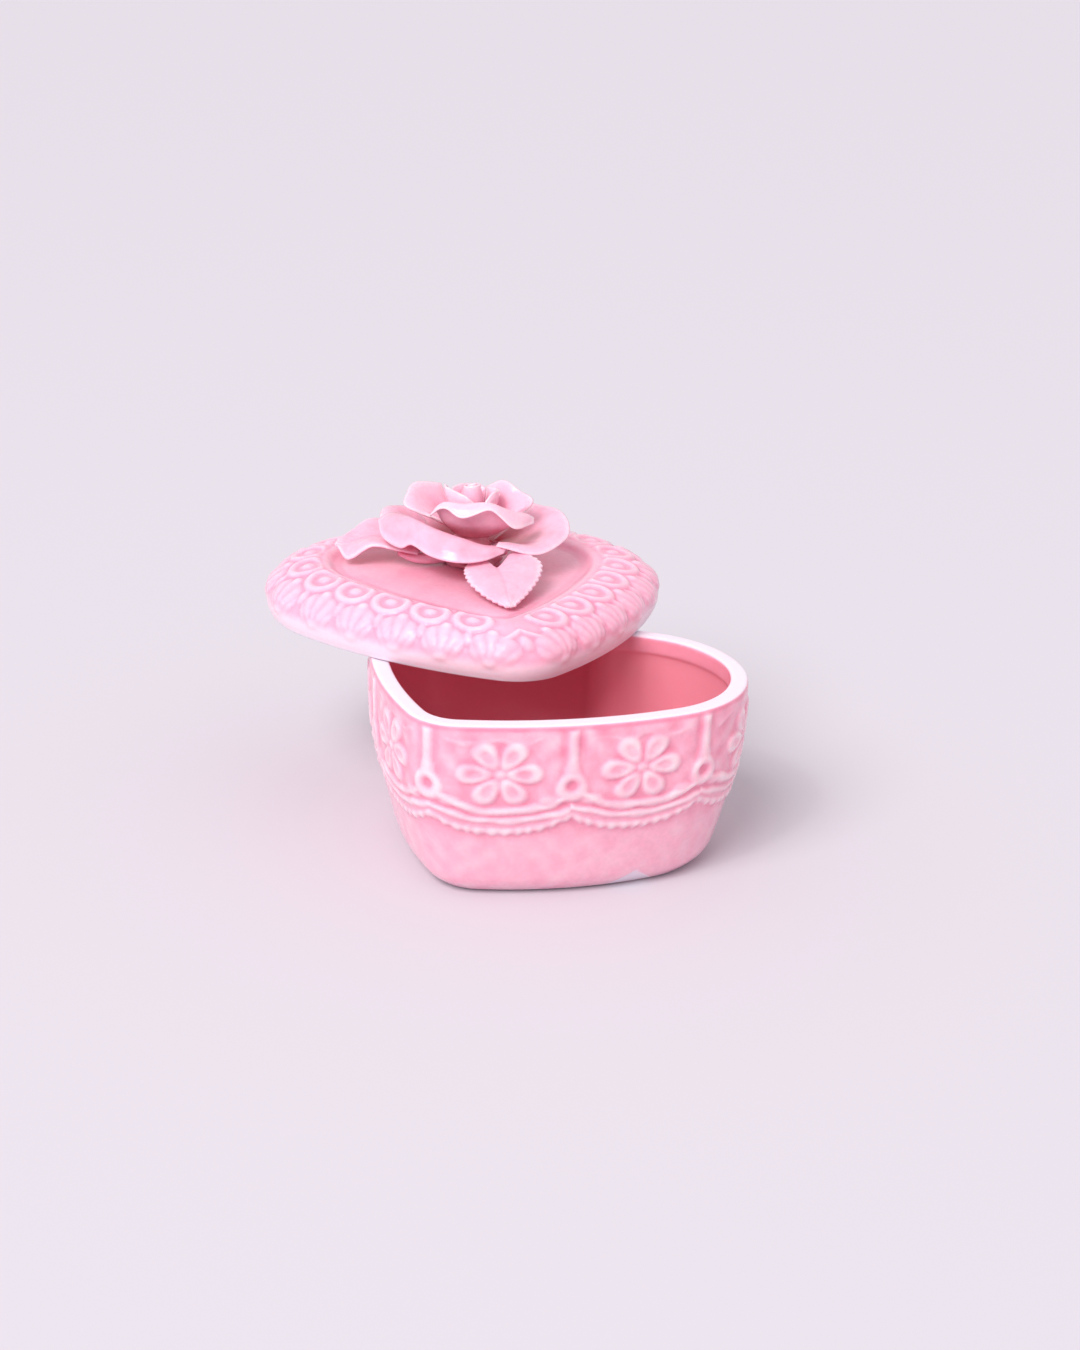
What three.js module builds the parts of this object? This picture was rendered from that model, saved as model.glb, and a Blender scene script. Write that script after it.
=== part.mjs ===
// Heart-shaped ceramic trinket box: a slip-cast bowl, a loose lid lying askew on its rim,
// and a hand-built rose with two leaves on the lid.
// Millimetres, +Z up. The origin is the centre of the bowl's flat underside, and the heart's tip points to -Y.

import * as THREE from 'three';

// ---- driving dimensions ----------------------------------------------------------------------
// Heart outline of the bowl's rim: tangent arcs, mirrored about X = 0
const LOBE_RADIUS = 27.8;
const LOBE_CENTRE_X = 17.2;
const SIDE_RADIUS = 104;
const TIP_RADIUS = 12.2;
const TIP_CENTRE_Y = -39.3;
const NOTCH_RADIUS = 4;
const SHARPEST_TIP = 4; // smallest tip radius that an inset outline may have

// Bowl
const BOWL_HEIGHT = 43;
const HEART_Y = 8; // the heart's lobe centres lie this far behind the origin
const FOOT_SHIFT_Y = 1.2; // the foot is drawn in a little further at the tip than at the lobes
const FOOT_SCALE = 0.776;
const BOWL_WALL = 3.3;
const COLLAR_WALL = 3.9;
const COLLAR_DEPTH = 4.2;
const FLOOR_THICKNESS = 4;

// Lid
const LID_OVERHANG = 1; // outline of the lid's flat bottom edge outside the bowl's rim
const LID_GAP = 0.3;
const LID_OFFSET = new THREE.Vector2(-35, 22.8); // where the lid's own heart origin lies, askew on the rim
const LID_TURN = THREE.MathUtils.degToRad(49.4);
const LID_BORDER = 13.4;
const PANEL_HEIGHT = 9.8;
const LID_WALL = 3.3;
const PANEL_SHIFT = new THREE.Vector2(-2, -0.8); // the panel sits a little off the lid's centre

// Rose and leaves, in the lid's frame
const ROSE_CENTRE = new THREE.Vector2(1.6, 1);
const ROSE_HEIGHT = 10.5; // the rose's own zero, a little above the panel
const ROSE_FRONT = THREE.MathUtils.degToRad(-108.7); // direction in which the front petal faces
const PETAL_THICKNESS = 1.1;
const LEAF_THICKNESS = 1.2;

// ---- materials ---------------------------------------------------------------------------------
const ceramic = (color, roughness) => new THREE.MeshStandardMaterial({ color, roughness, metalness: 0 });
const BOWL_GLAZE = ceramic(0xf6b3cf, 0.2);
const LID_GLAZE = ceramic(0xf7bcd6, 0.2);
const PETAL_GLAZE = ceramic(0xf8c3da, 0.22);
const LEAF_GLAZE = ceramic(0xf6b8d2, 0.24);

// ---- heart outline -----------------------------------------------------------------------------
function arcPoints(cx, cy, radius, start, end, steps) {
  return Array.from({ length: steps + 1 }, (_, i) => {
    const angle = start + ((end - start) * i) / steps;
    return new THREE.Vector2(cx + radius * Math.cos(angle), cy + radius * Math.sin(angle));
  });
}

// Centre of the long side arc, which touches the lobe arc and the tip arc from outside
function sideArcCentre() {
  const toLobe = SIDE_RADIUS - LOBE_RADIUS;
  const toTip = SIDE_RADIUS - TIP_RADIUS;
  const span = Math.hypot(LOBE_CENTRE_X, TIP_CENTRE_Y);
  const along = (toLobe ** 2 - toTip ** 2 + span ** 2) / (2 * span);
  const across = Math.sqrt(toLobe ** 2 - along ** 2);
  const ux = -LOBE_CENTRE_X / span;
  const uy = TIP_CENTRE_Y / span;
  return new THREE.Vector2(LOBE_CENTRE_X + along * ux + across * uy, along * uy - across * ux);
}

// Heart moved inwards by inset (outwards if negative), counter-clockwise, always with the same number of points
function heartOutline(inset) {
  const side = sideArcCentre();
  const sideRadius = SIDE_RADIUS - inset;
  const lobeRadius = LOBE_RADIUS - inset;
  const tipRadius = Math.max(TIP_RADIUS - inset, SHARPEST_TIP);
  const tipY = side.y - Math.sqrt((sideRadius - tipRadius) ** 2 - side.x ** 2);
  const notchRadius = NOTCH_RADIUS + inset;
  const notchY = Math.sqrt((LOBE_RADIUS + NOTCH_RADIUS) ** 2 - LOBE_CENTRE_X ** 2);
  const notchEnd = Math.atan2(-notchY, LOBE_CENTRE_X);
  const lobeStart = Math.atan2(-side.y, LOBE_CENTRE_X - side.x);
  const lobeEnd = notchEnd + Math.PI;
  const tipEnd = Math.atan2(tipY - side.y, -side.x);
  const right = [
    ...arcPoints(0, tipY, tipRadius, -Math.PI / 2, tipEnd, 4),
    ...arcPoints(side.x, side.y, sideRadius, tipEnd, lobeStart, 6).slice(1),
    ...arcPoints(LOBE_CENTRE_X, 0, lobeRadius, lobeStart, lobeEnd, 12).slice(1),
    ...arcPoints(0, notchY, notchRadius, notchEnd, -Math.PI / 2, 3).slice(1),
  ];
  const left = right.slice(1, -1).reverse().map((p) => new THREE.Vector2(-p.x, p.y));
  return [...right, ...left];
}

// ---- closed solids from rings and grids ----------------------------------------------------------
function closedGeometry(points, triangles) {
  const geometry = new THREE.BufferGeometry();
  geometry.setAttribute('position', new THREE.Float32BufferAttribute(points.flatMap((p) => p.toArray()), 3));
  geometry.setIndex(triangles);
  geometry.computeVertexNormals();
  return geometry;
}

// Skins a stack of equal counter-clockwise rings, from a first centre point to a last one
function loft(firstCentre, rings, lastCentre) {
  const size = rings[0].length;
  const points = [firstCentre, ...rings.flat(), lastCentre];
  const last = points.length - 1;
  const triangles = [];
  for (let i = 0; i < size; i += 1) {
    const next = (i + 1) % size;
    triangles.push(0, 1 + next, 1 + i);
    for (let r = 0; r + 1 < rings.length; r += 1) {
      const a = 1 + r * size;
      const b = a + size;
      triangles.push(a + i, a + next, b + next, a + i, b + next, b + i);
    }
    const top = 1 + (rings.length - 1) * size;
    triangles.push(top + i, top + next, last);
  }
  return closedGeometry(points, triangles);
}

// Thickens a surface (u, v) -> Vector3, with u and v from 0 to 1, into a closed plate
function plate(surface, thickness, uSteps, vSteps) {
  const step = 1e-3;
  const upper = [];
  const lower = [];
  for (let j = 0; j <= vSteps; j += 1) {
    for (let i = 0; i <= uSteps; i += 1) {
      const u = i / uSteps;
      const v = j / vSteps;
      const du = surface(u + step, v).sub(surface(u - step, v));
      const dv = surface(u, v + step).sub(surface(u, v - step));
      const normal = du.cross(dv).normalize().multiplyScalar(thickness / 2);
      upper.push(surface(u, v).add(normal));
      lower.push(surface(u, v).sub(normal));
    }
  }
  const row = uSteps + 1;
  const back = upper.length;
  const triangles = [];
  const quad = (a, b, c, d) => triangles.push(a, b, c, a, c, d);
  for (let j = 0; j < vSteps; j += 1) {
    for (let i = 0; i < uSteps; i += 1) {
      const a = j * row + i;
      quad(a, a + 1, a + row + 1, a + row);
      quad(back + a, back + a + row, back + a + row + 1, back + a + 1);
    }
    const a = j * row;
    const b = a + uSteps;
    quad(a, a + row, back + a + row, back + a);
    quad(b, back + b, back + b + row, b + row);
  }
  const top = vSteps * row;
  for (let i = 0; i < uSteps; i += 1) {
    quad(i, back + i, back + i + 1, i + 1);
    quad(top + i, top + i + 1, back + top + i + 1, back + top + i);
  }
  return closedGeometry([...upper, ...lower], triangles);
}

function named(name, geometry, material) {
  const mesh = new THREE.Mesh(geometry, material);
  mesh.name = name;
  return mesh;
}

// ---- bowl ----------------------------------------------------------------------------------------
// Scale of the outline against height: a rounded foot, a wall that leans out, and a nearly upright rim
const wallCurve = new THREE.SplineCurve(
  [
    [0, FOOT_SCALE],
    [0.08, 0.85],
    [0.2, 0.89],
    [0.4, 0.938],
    [0.65, 0.985],
    [1, 1],
  ].map(([height, scale]) => new THREE.Vector2(height, scale)),
);

function wallScale(z) {
  const height = z / BOWL_HEIGHT;
  const samples = wallCurve.getPoints(60);
  const k = Math.max(1, samples.findIndex((p) => p.x >= height));
  const [a, b] = [samples[k - 1], samples[k]];
  return a.y + ((b.y - a.y) * (height - a.x)) / (b.x - a.x);
}

function bowlRing(z, inset) {
  const scale = wallScale(z);
  const shift = HEART_Y + (FOOT_SHIFT_Y * (1 - scale)) / (1 - FOOT_SCALE);
  return heartOutline(inset).map((p) => new THREE.Vector3(p.x * scale, p.y * scale + shift, z));
}

function bowl() {
  const outside = [0, 1.4, 3.4, 8.6, 17.2, 28, 36, BOWL_HEIGHT].map((z) => bowlRing(z, 0));
  const underCollar = BOWL_HEIGHT - COLLAR_DEPTH;
  const inside = [
    [BOWL_HEIGHT, COLLAR_WALL],
    [underCollar, COLLAR_WALL],
    [underCollar - 1, BOWL_WALL],
    [28, BOWL_WALL],
    [17.2, BOWL_WALL],
    [10, BOWL_WALL + 0.3],
    [6.2, BOWL_WALL + 1.6],
    [4.5, BOWL_WALL + 4],
    [FLOOR_THICKNESS, BOWL_WALL + 7.5],
  ].map(([z, inset]) => bowlRing(z, inset));
  const underside = new THREE.Vector3(0, 0, 0);
  const floor = new THREE.Vector3(0, 0, FLOOR_THICKNESS);
  return named('base_bowl', loft(underside, [...outside, ...inside], floor), BOWL_GLAZE);
}

// ---- lid -----------------------------------------------------------------------------------------
// [inset from the bottom edge, height] round the section: bulging edge, domed border, bead, sunk panel
const LID_OUTSIDE = [
  [0, 0],
  [-0.7, 1.8],
  [-0.9, 3.6],
  [-0.3, 5.8],
  [1.4, 8],
  [4, 9.9],
  [6.5, 10.9],
  [9, 11.3],
  [11.2, 11.5],
  [12.2, 11.3],
  [LID_BORDER, PANEL_HEIGHT],
];
const LID_INSIDE = [
  [11.5, PANEL_HEIGHT - LID_WALL],
  [8.6, 7.1],
  [5.7, 6.4],
  [3.9, 5.1],
  [3, 3.4],
  [3.4, 1.4],
  [4, 0],
];

function lidShell() {
  const ring = (inset, z, shift) =>
    heartOutline(inset - LID_OVERHANG).map((p) => {
      const moved = p.clone().addScaledVector(PANEL_SHIFT, shift);
      return new THREE.Vector3(moved.x, moved.y, z);
    });
  const underside = new THREE.Vector3(0, -HEART_Y, PANEL_HEIGHT - LID_WALL);
  const panel = new THREE.Vector3(0, -HEART_Y, PANEL_HEIGHT);
  const rings = [
    ...LID_INSIDE.map(([inset, z]) => ring(inset, z, 0)),
    ...LID_OUTSIDE.map(([inset, z]) => ring(inset, z, Math.max(0, inset / LID_BORDER))),
  ];
  return named('lid_shell', loft(underside, rings, panel), LID_GLAZE);
}

// ---- rose ----------------------------------------------------------------------------------------
// Each petal follows a section curve [radius, height] round the rose's axis, starting at the clay core.
// Petals whose angles overlap use sections at least one petal thickness apart.
const LOW_OUTER = [[6.8, 2.9], [11, 4.2], [15, 6.4], [18.6, 8.6], [21, 8]];
const HIGH_OUTER = [[5.1, 4.8], [9.6, 6.4], [14, 8.9], [17.6, 11.2], [20.6, 10.4]];
const LOW_MIDDLE = [[4.6, 6.5], [8.2, 8.6], [10.8, 11], [13, 13], [14.2, 13.8]];
const HIGH_MIDDLE = [[3.8, 8.2], [6.8, 10.2], [9.4, 13], [12, 15.6], [13.6, 16.8]];
const ROLLED_MIDDLE = [[4.1, 7.4], [7, 9.8], [8.8, 12.8], [10.4, 14.9], [12.6, 14.2]];
const LOW_INNER = [[3.2, 9.9], [4.6, 11.6], [5.6, 14], [6.2, 16], [6.6, 17.6]];
const HIGH_INNER = [[2.5, 11.5], [3.1, 12.8], [3.6, 14.6], [4, 16.2], [4.2, 17.4]];

// name, section curve, angle from the front, half angle (degrees), how far the lip falls away at its ends
const PETALS = [
  ['outer_petal_front', LOW_OUTER, -22, 54, 0.16],
  ['outer_petal_right', HIGH_OUTER, 72, 44, 0.16],
  ['outer_petal_back_right', LOW_OUTER, 144, 38, 0.16],
  ['outer_petal_back_left', HIGH_OUTER, -144, 38, 0.16],
  ['outer_petal_left', LOW_OUTER, -108, 26, 0.16],
  ['middle_petal_front', ROLLED_MIDDLE, 8, 50, 0.12],
  ['middle_petal_right', HIGH_MIDDLE, 108, 46, 0.2],
  ['middle_petal_back', LOW_MIDDLE, 176, 44, 0.2],
  ['middle_petal_left', HIGH_MIDDLE, -100, 48, 0.16],
  ['inner_petal_left', LOW_INNER, -66, 58, 0.2],
  ['inner_petal_right', HIGH_INNER, 44, 60, 0.24],
  ['inner_petal_back', LOW_INNER, 160, 64, 0.24],
];

function petal([name, section, angle, halfAngle, fall]) {
  const curve = new THREE.CatmullRomCurve3(section.map(([radius, z]) => new THREE.Vector3(radius, 0, z)));
  const surface = (u, v) => {
    const across = 2 * u - 1;
    const reach = THREE.MathUtils.clamp(v * (1 - fall * Math.abs(across) ** 3), 0, 1);
    const p = curve.getPoint(reach);
    const spread = halfAngle * (0.8 + 0.2 * v);
    const turn = ROSE_FRONT + THREE.MathUtils.degToRad(angle + across * spread);
    return new THREE.Vector3(p.x * Math.cos(turn), p.x * Math.sin(turn), p.z);
  };
  return named(name, plate(surface, PETAL_THICKNESS, 8, 5), PETAL_GLAZE);
}

function turned(name, section, steps) {
  const geometry = new THREE.LatheGeometry(section.map(([r, z]) => new THREE.Vector2(r, z)), steps);
  geometry.rotateX(Math.PI / 2);
  return named(name, geometry, PETAL_GLAZE);
}

// Clay core that the petals are pressed on to
const CORE = [[0, -0.4], [6.4, -0.4], [7, 0.6], [6.8, 2], [5.3, 3], [4.4, 5], [3.6, 7], [2.6, 9.4], [1.6, 10], [0, 10]];

// Rolled bud on top of the core
const BUD = [[0, 10.3], [1.4, 10.3], [1.7, 12], [2.2, 14], [2.7, 16.4], [2.6, 17.8], [1.5, 18.6], [0, 18.6]];

// ---- leaves --------------------------------------------------------------------------------------
// Heart-shaped leaf pointing along +X from its notch to its tip, arched across its midrib. tilt raises
// its left edge, and rise lifts the notch end.
function leaf(name, length, width, arch, tilt, rise) {
  const surface = (u, v) => {
    const along = THREE.MathUtils.clamp(v, 0, 0.96);
    const across = 2 * u - 1;
    const reach = (width / 2) * Math.sin(Math.PI * (0.2 + 0.8 * along) ** 0.62) ** 0.8;
    const lobe = 0.18 * length * (1 - along) ** 3 * Math.abs(across);
    const y = across * reach;
    const z = arch * (1 - across ** 2) * Math.sin(Math.PI * along) + tilt * y + rise * (1 - along);
    return new THREE.Vector3(along * length - lobe, y, z);
  };
  return named(name, plate((u, v) => surface(u, 0.001 + 0.958 * v), LEAF_THICKNESS, 8, 7), LEAF_GLAZE);
}

// Tapered clay stem between two points
function stem(name, from, to, fromRadius, toRadius) {
  const axis = to.clone().sub(from);
  const geometry = new THREE.CylinderGeometry(toRadius, fromRadius, axis.length(), 10, 2);
  const mesh = named(name, geometry, LEAF_GLAZE);
  mesh.quaternion.setFromUnitVectors(new THREE.Vector3(0, 1, 0), axis.clone().normalize());
  mesh.position.copy(from).add(to).multiplyScalar(0.5);
  return mesh;
}

function placed(mesh, x, y, z, turn) {
  mesh.position.set(x, y, z);
  mesh.rotation.z = THREE.MathUtils.degToRad(turn);
  return mesh;
}

// ---- assembly ------------------------------------------------------------------------------------
const rose = new THREE.Group();
rose.position.set(ROSE_CENTRE.x, ROSE_CENTRE.y, ROSE_HEIGHT);
rose.add(turned('rose_core', CORE, 20), turned('rose_bud', BUD, 14), ...PETALS.map(petal));

const lid = new THREE.Group();
lid.position.set(LID_OFFSET.x, LID_OFFSET.y, BOWL_HEIGHT + LID_GAP);
lid.rotation.z = LID_TURN;
lid.add(
  lidShell(),
  rose,
  placed(leaf('front_leaf', 17.6, 18, 0.8, 0.08, 2.2), 1.6, -17.6, 12.4, -97),
  stem('front_stem', new THREE.Vector3(1, -6.8, 11.45), new THREE.Vector3(1.6, -19.4, 12.7), 1.25, 0.8),
  placed(leaf('left_leaf', 16, 14.5, 0.8, -0.16, 0.6), -17, 2.2, 13.9, 176),
  stem('left_stem', new THREE.Vector3(-6.2, 1, 11.45), new THREE.Vector3(-18.6, 2.4, 12.4), 1.25, 0.8),
);

const box = new THREE.Group();
box.add(bowl(), lid);

export default box;
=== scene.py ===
"""Heart-shaped ceramic trinket box: fine relief, rose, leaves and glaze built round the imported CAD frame."""

import math

import bpy
import numpy as np
from mathutils import Matrix, Vector


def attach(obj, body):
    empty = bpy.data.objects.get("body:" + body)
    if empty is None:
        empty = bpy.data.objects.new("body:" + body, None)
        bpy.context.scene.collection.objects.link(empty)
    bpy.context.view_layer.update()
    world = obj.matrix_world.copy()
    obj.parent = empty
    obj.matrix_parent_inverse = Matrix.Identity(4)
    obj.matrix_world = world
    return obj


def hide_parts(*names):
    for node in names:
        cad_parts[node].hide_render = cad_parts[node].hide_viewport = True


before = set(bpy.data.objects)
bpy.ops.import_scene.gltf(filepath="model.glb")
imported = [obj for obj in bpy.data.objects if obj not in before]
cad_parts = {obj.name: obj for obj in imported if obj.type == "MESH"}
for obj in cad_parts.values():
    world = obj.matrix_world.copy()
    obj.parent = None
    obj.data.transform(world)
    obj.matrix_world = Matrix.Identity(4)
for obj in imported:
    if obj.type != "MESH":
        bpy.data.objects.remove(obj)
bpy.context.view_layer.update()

MM = 0.001

# ---- dimensions shared with the CAD model, in millimetres -----------------------------------------
LOBE_R, LOBE_X = 27.8, 17.2
SIDE_R = 104.0
TIP_R, TIP_Y = 12.2, -39.3
NOTCH_R = 4.0
SHARPEST_TIP = 4.0
BOWL_H = 43.0
HEART_Y = 8.0
LID_AT = (-35.0, 22.8)
LID_Z = 43.3
LID_TURN = math.radians(49.4)
LID_OVERHANG = 1.0
FOOT_SCALE = 0.776  # the foot's outline against the rim's
FOOT_SHIFT = 1.2  # how far back the foot's middle stands from the rim's


# ---- heart outline ----------------------------------------------------------------------------------
def side_centre():
    to_lobe, to_tip = SIDE_R - LOBE_R, SIDE_R - TIP_R
    span = math.hypot(LOBE_X, TIP_Y)
    along = (to_lobe**2 - to_tip**2 + span**2) / (2 * span)
    across = math.sqrt(to_lobe**2 - along**2)
    ux, uy = -LOBE_X / span, TIP_Y / span
    return LOBE_X + along * ux + across * uy, along * uy - across * ux


SIDE_X, SIDE_Y = side_centre()


def arcs(inset):
    """The right half's four arcs, from the tip to the notch.

    Each is its centre, radius, first and last angle, and outward sign.
    """
    side, lobe, notch = SIDE_R - inset, LOBE_R - inset, NOTCH_R + inset
    tip = max(TIP_R - inset, SHARPEST_TIP)
    tip_y = SIDE_Y - math.sqrt((side - tip) ** 2 - SIDE_X**2)
    notch_y = math.sqrt((LOBE_R + NOTCH_R) ** 2 - LOBE_X**2)
    notch_end = math.atan2(-notch_y, LOBE_X)
    lobe_start = math.atan2(-SIDE_Y, LOBE_X - SIDE_X)
    tip_end = math.atan2(tip_y - SIDE_Y, -SIDE_X)
    return [
        (0, tip_y, tip, -math.pi / 2, tip_end, 1),
        (SIDE_X, SIDE_Y, side, tip_end, lobe_start, 1),
        (LOBE_X, 0, lobe, lobe_start, notch_end + math.pi, 1),
        (0, notch_y, notch, notch_end, -math.pi / 2, -1),
    ]


RIM_LENGTHS = [abs(r * (a1 - a0)) for _, _, r, a0, a1, _ in arcs(0)]
HALF = sum(RIM_LENGTHS)


def stations(count):
    """Places evenly spaced round the rim's outline.

    Gives each one's signed distance from the tip, its arc number and its share of that arc.
    """
    s = (np.arange(count) + 0.5) / count * 2 * HALF
    s = np.where(s > HALF, s - 2 * HALF, s)
    ends = np.cumsum(RIM_LENGTHS)
    k = np.minimum(np.searchsorted(ends, np.abs(s)), 3)
    start = np.concatenate([[0], ends[:-1]])[k]
    return s, k, (np.abs(s) - start) / np.array(RIM_LENGTHS)[k]


def ring(inset, where):
    """The outline at an inset: points, outward normals and distance from the tip along this outline."""
    s, k, t = where
    table = np.array(arcs(inset))[k]
    angle = table[:, 3] + (table[:, 4] - table[:, 3]) * t
    flip = np.where(s < 0, -1.0, 1.0)
    c, d = np.cos(angle), np.sin(angle)
    points = np.stack([(table[:, 0] + table[:, 2] * c) * flip, table[:, 1] + table[:, 2] * d], 1)
    normals = np.stack([c * table[:, 5] * flip, d * table[:, 5]], 1)
    lengths = [abs(r * (a1 - a0)) for _, _, r, a0, a1, _ in arcs(inset)]
    start = np.concatenate([[0], np.cumsum(lengths)[:-1]])[k]
    return points, normals, (start + t * np.array(lengths)[k]) * flip


# ---- mesh helpers --------------------------------------------------------------------------------------
def catmull_rom(a, b, c, d, t):
    """Point a share t of the way from b to c, on the curve through a, b, c and d."""
    bend = 2 * a - 5 * b + 4 * c - d
    return 0.5 * (2 * b + (c - a) * t + bend * t**2 + (3 * b - a - 3 * c + d) * t**3)


def smooth_curve(knots):
    """Catmull-Rom curve through the knots, as a table."""
    k = np.vstack([knots[0] - (knots[1] - knots[0]), knots, knots[-1] + (knots[-1] - knots[-2])])
    t = np.linspace(0, 1, 60)[:, None]
    return np.vstack([catmull_rom(*k[i : i + 4], t) for i in range(len(knots) - 1)])


def make_mesh(name, points, faces, attributes, material, body, node):
    mesh = bpy.data.meshes.new(name)
    mesh.from_pydata((np.asarray(points) * MM).tolist(), [], faces)
    for key, values in attributes.items():
        layer = mesh.attributes.new(key, "FLOAT", "POINT")
        layer.data.foreach_set("value", np.asarray(values, np.float32))
    mesh.polygons.foreach_set("use_smooth", np.ones(len(mesh.polygons), bool))
    mesh.materials.append(material)
    mesh.update()
    obj = bpy.data.objects.new(name, mesh)
    bpy.context.scene.collection.objects.link(obj)
    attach(obj, body)
    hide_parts(node)


def skin(rows, cols):
    """Quads of a stack of closed rings, with a fan to a first and a last centre point."""
    i = np.arange(cols)
    j = (i + 1) % cols
    faces = []
    for r in range(rows - 1):
        a = 1 + r * cols
        faces.append(np.stack([a + i, a + j, a + cols + j, a + cols + i], 1))
    top = 1 + (rows - 1) * cols
    last = 1 + rows * cols
    quads = np.concatenate(faces).tolist()
    first_fan = np.stack([np.zeros_like(i), 1 + j, 1 + i], 1).tolist()
    last_fan = np.stack([top + i, top + j, np.full_like(i, last)], 1).tolist()
    return first_fan + quads + last_fan


def blur(grid, across, along):
    """Box blur of a grid whose rows don't wrap and whose columns do."""
    out = sum(np.roll(grid, k, 1) for k in range(-across, across + 1)) / (2 * across + 1)
    padded = np.pad(out, ((along, along), (0, 0)), "edge")
    return sum(padded[k : k + grid.shape[0]] for k in range(2 * along + 1)) / (2 * along + 1)


def ease(x):
    x = np.clip(x, 0, 1)
    return x * x * (3 - 2 * x)


def ridge(distance, width):
    """Rounded ridge: 1 on its line, 0 from half its width away."""
    return np.clip(1 - (2 * distance / width) ** 2, 0, None) ** 0.8


def dome(distance, radius):
    return np.sqrt(np.clip(1 - (distance / radius) ** 2, 0, None))


def lumps(x, y, period_x, size, seed):
    """Smooth seeded noise, about -1 to 1, that repeats in x after period_x."""
    rng = np.random.default_rng(seed)
    total = np.zeros(np.broadcast(x, y).shape)
    for _ in range(26):
        turns = rng.integers(1, max(2, int(period_x / size)))
        fy = rng.uniform(-1, 1) / size
        total = total + np.cos(2 * math.pi * (turns * x / period_x + fy * y) + rng.uniform(0, 6.28))
    return total / math.sqrt(26)


# ---- glaze ---------------------------------------------------------------------------------------------
def srgb(r, g, b):
    def linear(v):
        v /= 255
        return v / 12.92 if v <= 0.04045 else ((v + 0.055) / 1.055) ** 2.4

    return (linear(r), linear(g), linear(b), 1)


INSIDE = (236, 147, 164)
RAW_CLAY = (238, 223, 235)
RAW_ROUGHNESS = 0.62


def glaze(name, deep, middle, pale, roughness=0.16, specular=0.5):
    """Glossy pink glaze.

    The attribute tone runs from deep (0) to pale (1): from pooled glaze to thin glaze on raised clay, and in
    places painted light and shade as well. inside gives the glaze of the bowl's hollow, and bare shows raw
    clay, on the lid's lower band partly as painted light.
    """
    mat = bpy.data.materials.new(name)
    mat.use_nodes = True
    nodes, links = mat.node_tree.nodes, mat.node_tree.links
    bsdf = nodes["Principled BSDF"]
    coords = nodes.new("ShaderNodeTexCoord")

    def attribute(key):
        node = nodes.new("ShaderNodeAttribute")
        node.attribute_name = key
        return node.outputs["Fac"]

    def noise(scale, detail):
        node = nodes.new("ShaderNodeTexNoise")
        node.inputs["Scale"].default_value = scale
        node.inputs["Detail"].default_value = detail
        links.new(coords.outputs["Object"], node.inputs["Vector"])
        return node.outputs["Fac"]

    def ramp(value, first, last):
        """Colour ramp between two stops, each a position and a colour."""
        node = nodes.new("ShaderNodeValToRGB")
        for stop, (position, colour) in zip(node.color_ramp.elements, (first, last)):
            stop.position = position
            stop.color = colour
        links.new(value, node.inputs["Fac"])
        return node

    def mix(factor, first, second, blend="MIX"):
        """Blend of two colours; each input is a socket to link or a plain value."""
        node = nodes.new("ShaderNodeMix")
        node.data_type = "RGBA"
        node.blend_type = blend
        sockets = (node.inputs["Factor"], node.inputs[6], node.inputs[7])
        for socket, source in zip(sockets, (factor, first, second)):
            if isinstance(source, bpy.types.NodeSocket):
                links.new(source, socket)
            else:
                socket.default_value = source
        return node.outputs[2]

    cloudy = nodes.new("ShaderNodeMath")
    cloudy.operation = "MULTIPLY_ADD"
    cloudy.inputs[1].default_value = 0.34
    cloudy.inputs[2].default_value = -0.17
    links.new(noise(210, 4), cloudy.inputs[0])
    mixed = nodes.new("ShaderNodeMath")
    mixed.operation = "ADD"
    links.new(attribute("tone"), mixed.inputs[0])
    links.new(cloudy.outputs[0], mixed.inputs[1])
    pink = ramp(mixed.outputs[0], (0.05, srgb(*deep)), (0.95, srgb(*pale)))
    pink.color_ramp.elements.new(0.5).color = srgb(*middle)
    # Specks where the glaze has pulled thin
    speck = ramp(noise(900, 2), (0.35, (0.9, 0.9, 0.9, 1)), (0.7, (1.03, 1.03, 1.03, 1)))
    colour = mix(0.5, pink.outputs["Color"], speck.outputs["Color"], "MULTIPLY")
    # Warmer, thicker glaze inside the bowl
    colour = mix(attribute("inside"), colour, srgb(*INSIDE))
    bare = attribute("bare")
    colour = mix(bare, colour, srgb(*RAW_CLAY))
    links.new(colour, bsdf.inputs["Base Color"])
    rough = nodes.new("ShaderNodeMapRange")
    rough.inputs["To Min"].default_value = roughness
    rough.inputs["To Max"].default_value = RAW_ROUGHNESS
    links.new(bare, rough.inputs["Value"])
    links.new(rough.outputs["Result"], bsdf.inputs["Roughness"])
    uneven = nodes.new("ShaderNodeBump")
    uneven.inputs["Strength"].default_value = 0.12
    uneven.inputs["Distance"].default_value = 0.0004
    links.new(noise(420, 3), uneven.inputs["Height"])
    links.new(uneven.outputs["Normal"], bsdf.inputs["Normal"])
    bsdf.inputs["Coat Weight"].default_value = 0.1
    bsdf.inputs["Coat Roughness"].default_value = 0.04
    bsdf.inputs["IOR"].default_value = 1.4
    bsdf.inputs["Specular IOR Level"].default_value = specular
    bsdf.inputs["Subsurface Weight"].default_value = 0.3
    bsdf.inputs["Subsurface Radius"].default_value = (1, 0.4, 0.45)
    bsdf.inputs["Subsurface Scale"].default_value = 0.0022
    return mat


bowl_glaze = glaze("bowl_glaze", (240, 144, 172), (250, 181, 202), (254, 219, 227))
lid_glaze = glaze("lid_glaze", (240, 146, 178), (250, 181, 205), (253, 207, 223), 0.15, 0.2)
# The petals' deep colour is a dark brown-red that serves as painted shade at the petals' roots, the bud's foot
# and the core.
petal_glaze = glaze("petal_glaze", (198, 92, 108), (250, 184, 208), (254, 214, 226), 0.15)
leaf_glaze = glaze("leaf_glaze", (234, 132, 160), (249, 183, 206), (253, 214, 228), 0.2)

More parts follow.
